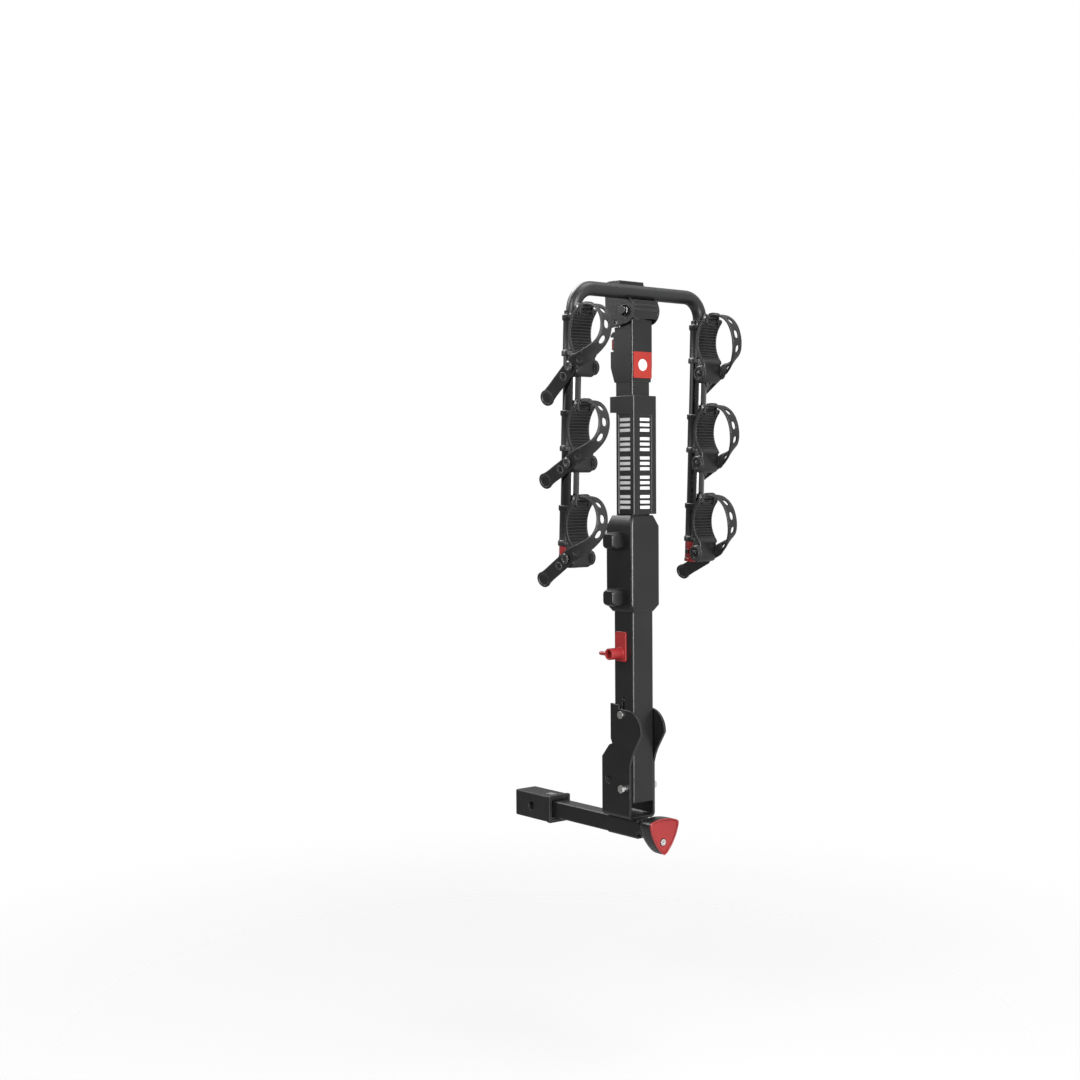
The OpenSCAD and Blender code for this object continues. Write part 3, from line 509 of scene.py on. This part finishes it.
# The knob's red front plate: a raised rim round a shallow floor, pierced by the lock
bm = bmesh.new()
add_loft(bm, [knob_ring(y, 1, k) for y, k in (
    (-76.2, 0.972), (-79.9, 0.985), (-80.7, 0.98), (-81.0, 0.965), (-81.0, 0.915), (-80.7, 0.902), (-77.8, 0.895),
    (-77.6, 0.875), (-79.5, 0.864), (-79.8, 0.85), (-79.8, 0.4), (-79.8, 0.1))])
plate = make_piece("knob_cap_shaped", bm, RED, "knob", ("knob_cap",))
cut(plate, [cutter("lock_hole", 7.4, mast_point(-4, -90, LOCK_Z), (0, 1, 0), 26)])

# A plain white spot on the red label
bm = bmesh.new()
add_lathe(bm, solid_profile([(10.5, -0.1), (10.5, 0.06), (10.3, 0.14)]), mast_point(0, -27.36, 836), (0, -1, 0), 64)
make_piece("label_spot", bm, WHITE, "mast")


# ---------- cradles ----------

def arms_matrix(side, level):
    """Cradle frame to row frame: x points outwards, z = 0 is the middle of the sleeve."""
    place = Matrix.Translation(Vector((0, BAR[0] - SETBACK, BAR[1])) * MM) @ Matrix.Rotation(LEAN, 4, "X")
    s = 1 if side == "right" else -1
    place = place @ Matrix.Translation(Vector((s * ARM_X, 0, FIRST - level * PITCH)) * MM)
    return place @ Matrix.Diagonal((s, 1, 1, 1))


def place_rings(rings, place):
    return [[place @ (Vector(c) * MM) for c in ring] for ring in rings]


def collar_profile():
    """Half section of the sleeve round an arm tube, with a collar at each end."""
    half, r0, r1, bore = 35.5, 17.2, 19.3, 15.98
    up = [(bore, half), (r1 - 0.9, half), (r1, half - 0.9), (r1, half - 7.6), (r1 - 0.5, half - 9),
          (r0 + 0.3, half - 10.2), (r0, half - 11.5)]
    return up + [(r, -z) for r, z in up[::-1]]


def saddle_rings():
    """Stations round the seat: outlines in x and radius, with ribs on the inner face and raised rims."""
    rings = []
    a0, a1, count = -47.5, 46.5, 188  # degrees round the seat's axis
    half, axis_y, axis_z = 24.0, -71.5, 4.0
    seat_r, rib_pitch, rib_h = 51.5, 5.4, 2.3
    for i in range(count + 1):
        a = a0 + (a1 - a0) * i / count
        arc = math.radians(a) * seat_r
        rib = (0.5 + 0.5 * math.cos(2 * math.pi * arc / rib_pitch)) ** 0.5
        fade = min(1.0, min(a - a0, a1 - a) / 4.0)
        inner = 53.0 - rib_h * rib * fade
        edge_fade = 0.35 + 0.65 * fade
        rim = 50.0 + (1 - edge_fade) * 2
        section = [(-half + 0.8, 57), (-half, 56.2), (-half, rim + 1.2), (-half + 0.9, rim + 0.2),
                   (-half + 2.1, rim + 0.4), (-half + 2.8, max(rim + 0.9, inner + 0.2)),
                   (-half + 3.8, inner + 0.15), (-half + 5.2, inner)]
        section += [(0, inner)] + [(-x, r) for x, r in section[::-1]]
        ca, sa = math.cos(math.radians(a)), math.sin(math.radians(a))
        rings.append([(x, axis_y + r * ca, axis_z + r * sa) for x, r in section])
    return rings


def build_cradle(side, level):
    """A cradle on its arm: sleeve, ribbed saddle, lip, stud drum and the ears for the strap's hinge."""
    name = "cradle_%s_%s" % (side, LEVELS[level])
    place = arms_matrix(side, level)
    bm = bmesh.new()
    axis = place.to_3x3() @ Vector((0, 0, 1))
    add_lathe(bm, collar_profile(), place.to_translation(), axis, 56)
    add_loft(bm, place_rings(saddle_rings(), place))
    # neck between the sleeve and the saddle, with side gussets
    add_prism(bm, [(-17.5, -27), (-13, -30), (-13, 32), (-18.5, 33)], -12, 12, place, 1.2)
    # the saddle's top lip, under the strap's hinge
    add_prism(bm, [(-36.2, 39.6), (-30, 44.6), (-24, 44.2), (-21.2, 40), (-20.5, 31), (-24.5, 31), (-33, 37.6)],
              -11.9, 11.9, place, 1.0)
    # lower drum that carries the strap stud
    drum = [(-17.2, -29)] + arc_points(-25.5, -38.5, 11.5, 100, 180, 7) + arc_points(-26.2, -61, 10.8, 180, 292, 9) \
        + [(-17.2, -68)]
    add_prism(bm, drum, -21.5, 21.5, place, 2.2, 3)
    add_prism(bm, [(-19, -40), (-16.4, -40), (-16.4, -24), (-19, -24)], -13.5, 13.5, place, 0.8)
    # screw cap on the drum's inner side
    right = place.to_3x3() @ Vector((1, 0, 0))
    cap_at = place @ (Vector((-21.2, STUD[0], STUD[1])) * MM)
    add_lathe(bm, solid_profile([(14.2, 1), (14.2, -1.2), (13.2, -1.9), (13.2, -5.6), (12.2, -6.6), (9.4, -6.6),
                                 (9.0, -4.6), (5.2, -4.4), (4.8, -6.8), (3.4, -7.3), (0.5, -7.4)]), cap_at, right, 48)
    # ears that hold the hinge pin
    for lo, hi in ((-15.6, -12.35), (12.35, 15.6)):
        ear = [(-36.5, 36), (-24, 31)] + arc_points(ANCHOR[0], ANCHOR[1], 6.2, 0, 180, 9)
        add_prism(bm, ear, lo, hi, place, 0.6)
    make_piece(name + "_moulded", bm, CRADLE, "arms", (name,), sharp=32, weighted=False)


def build_stud(side, level):
    """The mushroom-headed stud that holds a strap's tail."""
    place = arms_matrix(side, level)
    right = place.to_3x3() @ Vector((1, 0, 0))
    bm = bmesh.new()
    base = place @ (Vector((0, STUD[0], STUD[1])) * MM)
    add_lathe(bm, solid_profile([(4.0, 12.2), (8.6, 21.0), (8.6, 22.6), (7.4, 23.4), (4.0, 23.8), (4.0, 30.2),
                                 (8.2, 31.0), (9.2, 32.2), (9.0, 33.6), (7.6, 34.8), (5.6, 34.9), (4.6, 33.6),
                                 (2.2, 33.3), (0.5, 33.3)]), base, right, 40)
    make_piece("stud_%s_%s" % (side, LEVELS[level]), bm, STUD_BLACK, "arms")


# ---------- straps ----------

STRAP_T = 3.8
TAIL_TURN = 72  # degrees a tail is turned from facing the saddle
# how far each tail reaches back, mm, and how many more degrees it twists towards its tab
TAIL_REACH = {"left": (62, 62, 62), "right": (62, 62, 84)}
TAIL_TWIST = {"left": (0, 0, 0), "right": (0, 0, 38)}


def strap_curve(side, level):
    """Centre line, width direction and half width of a strap, from its hinge to its pull tab."""
    drop = DROPS[side][level]
    tail_end = Vector((TAIL_X, STUD[0] + TAIL_REACH[side][level], -drop))
    twist = TAIL_TURN + TAIL_TWIST[side][level]
    tail_start = Vector((TAIL_X, STUD[0], STUD[1]))
    down = (tail_end - tail_start).normalized()
    knots = [  # x, y, z, turn in degrees, half width
        (0, -33.0, 50.2, 0, 10.6), (0, -46, 51.4, 0, 11.4), (0.2, -61, 49.2, 0, 12), (0.8, -75, 42, 0, 12),
        (1.8, -85.2, 30, 0, 12), (3.4, -90.6, 15, 1, 12), (6.2, -91.0, 0, 4, 12), (10.8, -86.4, -14, 11, 12),
        (16.8, -77.0, -25.6, 24, 12), (22.6, -64.5, -35.0, 44, 12), (26.2, -49, -43.6, 62, 12)]
    length = (tail_end - tail_start).length
    for s, turn, half in ((-14, TAIL_TURN, 12.4), (0, TAIL_TURN, 12.4), (16, TAIL_TURN, 12.4), (34, twist, 12.4),
                          (length - 15, twist, 12.2), (length, twist, 13.8)):
        knots.append((*(tail_start + down * s), turn, half))
    rows = [Vector(k) for k in knots]
    dense = []
    for i in range(len(rows) - 1):
        p0, p1, p2, p3 = rows[max(i - 1, 0)], rows[i], rows[i + 1], rows[min(i + 2, len(rows) - 1)]
        for k in range(12):
            t = k / 12
            dense.append(0.5 * ((2 * p1) + (p2 - p0) * t + (2 * p0 - 5 * p1 + 4 * p2 - p3) * t * t
                                + (3 * p1 - p0 - 3 * p2 + p3) * t * t * t))
    dense.append(rows[-1])
    run = [0.0]
    for a, b in zip(dense, dense[1:]):
        run.append(run[-1] + (Vector(b[:3]) - Vector(a[:3])).length)
    stud_run = min(range(len(dense)), key=lambda i: (Vector(dense[i][:3]) - tail_start).length)
    return dense, run, run[stud_run]


def strap_sampler(dense, run):
    """Gives a function that finds the strap's middle, width and face directions and half width at a run."""
    def at(s):
        s = max(0.0, min(run[-1], s))
        lo = min(bisect_right(run, s) - 1, len(run) - 2)
        hi = lo + 1
        t = (s - run[lo]) / max(run[hi] - run[lo], 1e-9)
        row = dense[lo].lerp(dense[hi], t)
        a, b = Vector(dense[max(lo - 1, 0)][:3]), Vector(dense[min(hi + 1, len(dense) - 1)][:3])
        tangent = (b - a).normalized()
        across = Vector((1, 0, 0))
        if abs(tangent.x) < 0.9:
            across = (across - tangent * across.dot(tangent)).normalized()
        normal = tangent.cross(across).normalized()
        turn = math.radians(row[3])
        wide = across * math.cos(turn) - normal * math.sin(turn)
        face = across * math.sin(turn) + normal * math.cos(turn)
        return Vector(row[:3]), wide, face, row[4]
    return at


def build_strap(side, level):
    """A pierced rubber strap with its hinge barrel, keeper, pull tab and spare eyelet."""
    name = "strap_%s_%s" % (side, LEVELS[level])
    dense, run, stud_s = strap_curve(side, level)
    at = strap_sampler(dense, run)
    place = arms_matrix(side, level)
    total = run[-1]
    # holes as (run, half length, half width): three in the loop, then one on each side of the stud's
    spare_s = stud_s + 25
    holes = [(47, 7.6, 5.2), (75, 7.6, 5.2), (103, 7.6, 5.2), (stud_s - 27, 6.6, 4.8), (stud_s, 6.2, 5.4),
             (spare_s, 6.6, 4.8)]
    # the strap is skinned in stretches: (start, end, hole or None)
    cells, cursor = [], 0.0
    for s, hl, hw in holes:
        lo, hi = s - 11, s + 11
        if lo < cursor or hi > total - 16:
            continue
        if lo > cursor + 0.5:
            cells.append((cursor, lo, None))
        cells.append((lo, hi, (s, hl, hw)))
        cursor = hi
    cells.append((cursor, total, None))
    bm = bmesh.new()
    table = {}

    def vert(s, w, t):
        key = (round(s, 3), round(w, 4), t)
        if key not in table:
            p, wide, face, half = at(s)
            edge = min(1.0, max(0.0, (abs(w) - 0.86) / 0.14))
            thick = STRAP_T / 2 * (1 - 0.35 * edge * edge)
            table[key] = bm.verts.new(place @ ((p + wide * (w * half) + face * (t * thick)) * MM))
        return table[key]

    ws = [-1, -0.93, -0.75, -0.5, -0.25, 0, 0.25, 0.5, 0.75, 0.93, 1]

    def plain(lo, hi):
        """An unpierced stretch."""
        n = max(1, round((hi - lo) / 3.2))
        ss = [lo + (hi - lo) * i / n for i in range(n + 1)]
        for a, b in zip(ss, ss[1:]):
            for w0, w1 in zip(ws, ws[1:]):
                for t in (1, -1):
                    q = [vert(a, w0, t), vert(b, w0, t), vert(b, w1, t), vert(a, w1, t)]
                    bm.faces.new(q if t < 0 else q[::-1])
            for w in (-1, 1):
                q = [vert(a, w, -1), vert(b, w, -1), vert(b, w, 1), vert(a, w, 1)]
                bm.faces.new(q if w > 0 else q[::-1])

    def holed(lo, hi, hole):
        """A stretch whose faces run inwards from its border to a hole with round ends."""
        s0, hl, hw = hole
        n = 8
        ss = [lo + (hi - lo) * i / n for i in range(n + 1)]
        border = [(s, -1) for s in ss] + [(hi, w) for w in ws[1:]] + [(s, 1) for s in ss[::-1][1:]] \
            + [(lo, w) for w in ws[::-1][1:-1]]
        _, _, _, half = at(s0)
        inner = []
        for s, w in border:
            dx, dy = (s - s0) / ((hi - lo) / 2), w
            a = math.atan2(dy, dx)
            straight = hl - hw
            cx = math.copysign(straight, math.cos(a)) * min(1, abs(math.cos(a)) * 1.6)
            inner.append((s0 + cx + hw * math.cos(a), hw * math.sin(a) / half))

        def mixed(k, f):
            (s1, w1), (s2, w2) = border[k], inner[k]
            return s1 + (s2 - s1) * f, w1 + (w2 - w1) * f

        levels = [0, 0.35, 0.7, 0.9, 1.0]
        for u, v in zip(levels, levels[1:]):
            for i in range(len(border)):
                j = (i + 1) % len(border)
                for t in (1, -1):
                    q = [vert(*mixed(i, u), t), vert(*mixed(j, u), t), vert(*mixed(j, v), t), vert(*mixed(i, v), t)]
                    bm.faces.new(q if t < 0 else q[::-1])
        for i in range(len(border)):
            j = (i + 1) % len(border)
            q = [vert(*inner[i], -1), vert(*inner[j], -1), vert(*inner[j], 1), vert(*inner[i], 1)]
            bm.faces.new(q)
        for a, b in zip(ss, ss[1:]):
            for w in (-1, 1):
                q = [vert(a, w, -1), vert(b, w, -1), vert(b, w, 1), vert(a, w, 1)]
                bm.faces.new(q if w > 0 else q[::-1])

    for lo, hi, hole in cells:
        holed(lo, hi, hole) if hole else plain(lo, hi)
    for s in (0.0, total):
        for w0, w1 in zip(ws, ws[1:]):
            q = [vert(s, w0, -1), vert(s, w1, -1), vert(s, w1, 1), vert(s, w0, 1)]
            bm.faces.new(q)
    bmesh.ops.recalc_face_normals(bm, faces=bm.faces)
    bevel_sharp(bm, 0.55 * MM, 2, 50)
    # hinge barrel round the pin
    right = place.to_3x3() @ Vector((1, 0, 0))
    add_lathe(bm, [(2.65, -12), (4.6, -12), (5.2, -11.2), (5.2, 11.2), (4.6, 12), (2.65, 12)],
              place @ (Vector((0, *ANCHOR)) * MM), right, 32)
    # raised keeper on top of the hinge end
    add_prism(bm, [(-47, 52.6), (-29, 52.2), (-30, 55.6), (-40, 56.6), (-45, 55)], -7.5, 7.5, place, 1.2)
    # round pull tab with a dished centre
    p, _, face, _ = at(total)
    add_lathe(bm, solid_profile([(3, -0.9), (9.4, -1.1), (10.4, -2.4), (13.0, -2.4), (14.2, -1.4), (14.2, 1.4),
                                 (13.0, 2.4), (10.4, 2.4), (9.4, 1.1), (3, 0.9)]),
              place @ (p * MM), place.to_3x3() @ face, 48)
    # spare stud hole in the tail: a raised eyelet closed by a thin web
    p, _, face, _ = at(spare_s)
    add_lathe(bm, solid_profile([(2, -0.5), (5.0, -0.6), (5.5, -2.5), (6.9, -2.5), (7.5, -1.6), (7.5, 1.6),
                                 (6.9, 2.5), (5.5, 2.5), (5.0, 0.6), (2, 0.5)]),
              place @ (p * MM), place.to_3x3() @ face, 36)
    make_piece(name + "_rubber", bm, RUBBER, name, (name,), sharp=48, weighted=False)


for side in ("left", "right"):
    for level in range(3):
        build_cradle(side, level)
        build_stud(side, level)
        build_strap(side, level)
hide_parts("cradle_pads")
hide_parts("strap_studs")


# ---------- the spring above the latch tongue ------------------------------------------------------

SPRING_Y, SPRING_R, WIRE_R, TURNS = 8, 5.5, 1.15, 11
SPRING_LO, SPRING_HI, CLOSED_PITCH = 346.5, 383.8, 2.4


def spring_height(turn):
    """Height of the wire's middle after so many turns; the first and last turns lie closed."""
    if turn < 1:
        return SPRING_LO + CLOSED_PITCH * turn
    if turn > TURNS - 1:
        return SPRING_HI - CLOSED_PITCH * (TURNS - turn)
    lo, hi = SPRING_LO + CLOSED_PITCH, SPRING_HI - CLOSED_PITCH
    return lo + (hi - lo) * (turn - 1) / (TURNS - 2)


def build_spring():
    """A coil of wire from SPRING_LO up to SPRING_HI, carried by no body."""
    steps, wire_sides = 20, 10
    rings = []
    for k in range(TURNS * steps + 1):
        a, z = 2 * math.pi * k / steps, spring_height(k / steps)
        ring = []
        for i in range(wire_sides):
            b = 2 * math.pi * i / wire_sides
            r = SPRING_R + WIRE_R * math.cos(b)
            ring.append(mast_point(r * math.cos(a), SPRING_Y + r * math.sin(a), z + WIRE_R * math.sin(b)))
        rings.append(ring)
    bm = bmesh.new()
    add_loft(bm, rings)
    coil = make_piece("latch_spring_coil", bm, STEEL, None, ("latch_spring",))
    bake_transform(coil)


build_spring()


# ---------- stage, light and camera ----------

FLOOR_Z, FLOOR_HALF = -0.42, 30
corners = [(-FLOOR_HALF, -FLOOR_HALF), (FLOOR_HALF, -FLOOR_HALF), (FLOOR_HALF, FLOOR_HALF), (-FLOOR_HALF, FLOOR_HALF)]
floor_me = bpy.data.meshes.new("floor")
floor_me.from_pydata([(x, y, FLOOR_Z) for x, y in corners], [], [(0, 1, 2, 3)])
floor = bpy.data.objects.new("floor", floor_me)
bpy.context.scene.collection.objects.link(floor)
pale, ft, pale_bsdf = new_material("pale_floor")
ft.links.new(map_range(ft, noise(ft, 3.0), 0.0, 1.0, 0.76, 0.8), pale_bsdf.inputs["Base Color"])
pale_bsdf.inputs["Roughness"].default_value = 0.8
pale_bsdf.inputs["Specular IOR Level"].default_value = 0.0
# the floor thins out with distance and is clear from below, so the backdrop has no horizon
geometry = ft.nodes.new("ShaderNodeNewGeometry")
far = ft.nodes.new("ShaderNodeVectorMath")
far.operation = "LENGTH"
ft.links.new(geometry.outputs["Position"], far.inputs[0])
fade = map_range(ft, far.outputs["Value"], 0.35, 1.9, 0.5, 0.0, True)
share = maths(ft, "MULTIPLY", fade, maths(ft, "SUBTRACT", 1.0, geometry.outputs["Backfacing"]))
clear = ft.nodes.new("ShaderNodeBsdfTransparent")
either = feed(ft, ft.nodes.new("ShaderNodeMixShader"), i0=share, i1=clear.outputs[0], i2=pale_bsdf.outputs[0])
ft.links.new(either.outputs[0], next(n for n in ft.nodes if n.type == "OUTPUT_MATERIAL").inputs[0])
floor_me.materials.append(pale)

world = bpy.data.worlds.new("studio")
bpy.context.scene.world = world
world.use_nodes = True
wt = world.node_tree
# white to the camera; as light, a studio that is bright in front and to the right and dim behind on the left
BRIGHT_SIDE = (0.6, -0.72, 0.34)
way = wt.nodes.new("ShaderNodeTexCoord").outputs["Generated"]
glow = map_range(wt, dot(wt, way, BRIGHT_SIDE), -0.65, 0.75, 0.22, 0.8, True)
seen = feed(wt, wt.nodes.new("ShaderNodeMix"), i0=wt.nodes.new("ShaderNodeLightPath").outputs["Is Camera Ray"],
            i2=glow, i3=1.0)
feed(wt, wt.nodes["Background"], i0=(1, 1, 1, 1), i1=seen.outputs[0])


RACK_MIDDLE = Vector((0.0, -0.28, 0.5))


def area(name, at, width, height, power, diffuse=True):
    """A soft box aimed at the rack's middle and hidden from the camera. Without diffuse it shows only in
    reflections."""
    light = bpy.data.lights.new(name, "AREA")
    light.shape, light.size, light.size_y, light.energy = "RECTANGLE", width, height, power
    o = bpy.data.objects.new(name, light)
    bpy.context.scene.collection.objects.link(o)
    o.location = at
    o.rotation_euler = (RACK_MIDDLE - Vector(at)).to_track_quat("-Z", "Y").to_euler()
    o.visible_camera = False
    o.visible_diffuse = diffuse
    return o


area("softbox_right", (-0.75, -3.0, 0.9), 1.3, 2.3, 64)
area("key_left", (-3.2, -0.9, 1.9), 1.2, 1.8, 60)
area("top", (0.5, -0.9, 3.4), 2.0, 2.0, 45)
# for the bright lines along corners and tubes
area("glint_right", (-0.8, -3.1, 0.7), 1.1, 2.4, 120, False)
area("glint_back", (-1.9, 2.1, 2.4), 1.2, 1.2, 50, False)
area("panel_back_left", (-1.6, 1.68, 1.4), 1.6, 1.2, 5, False)
area("glint_over", (-0.2, 1.9, 3.2), 2.0, 1.6, 120, False)

cam_data = bpy.data.cameras.new("camera")
cam = bpy.data.objects.new("camera", cam_data)
bpy.context.scene.collection.objects.link(cam)
cam_data.sensor_width = 36.0
cam_data.lens = 52.88
YAW, PITCH_DOWN, ROLL = math.radians(38.907), math.radians(1.997), math.radians(-0.369)
look = Vector((math.sin(YAW) * math.cos(PITCH_DOWN), math.cos(YAW) * math.cos(PITCH_DOWN), -math.sin(PITCH_DOWN)))
cam.rotation_mode = "QUATERNION"
cam.rotation_quaternion = look.to_track_quat("-Z", "Y") @ Matrix.Rotation(ROLL, 4, "Z").to_quaternion()
cam.location = Vector((-1933.784, -2127.264 - SETBACK, 623.03)) * MM
cam_data.clip_start, cam_data.clip_end = 0.05, 200
bpy.context.scene.camera = cam
bpy.context.scene.view_settings.view_transform = "Standard"

bpy.context.view_layer.update()
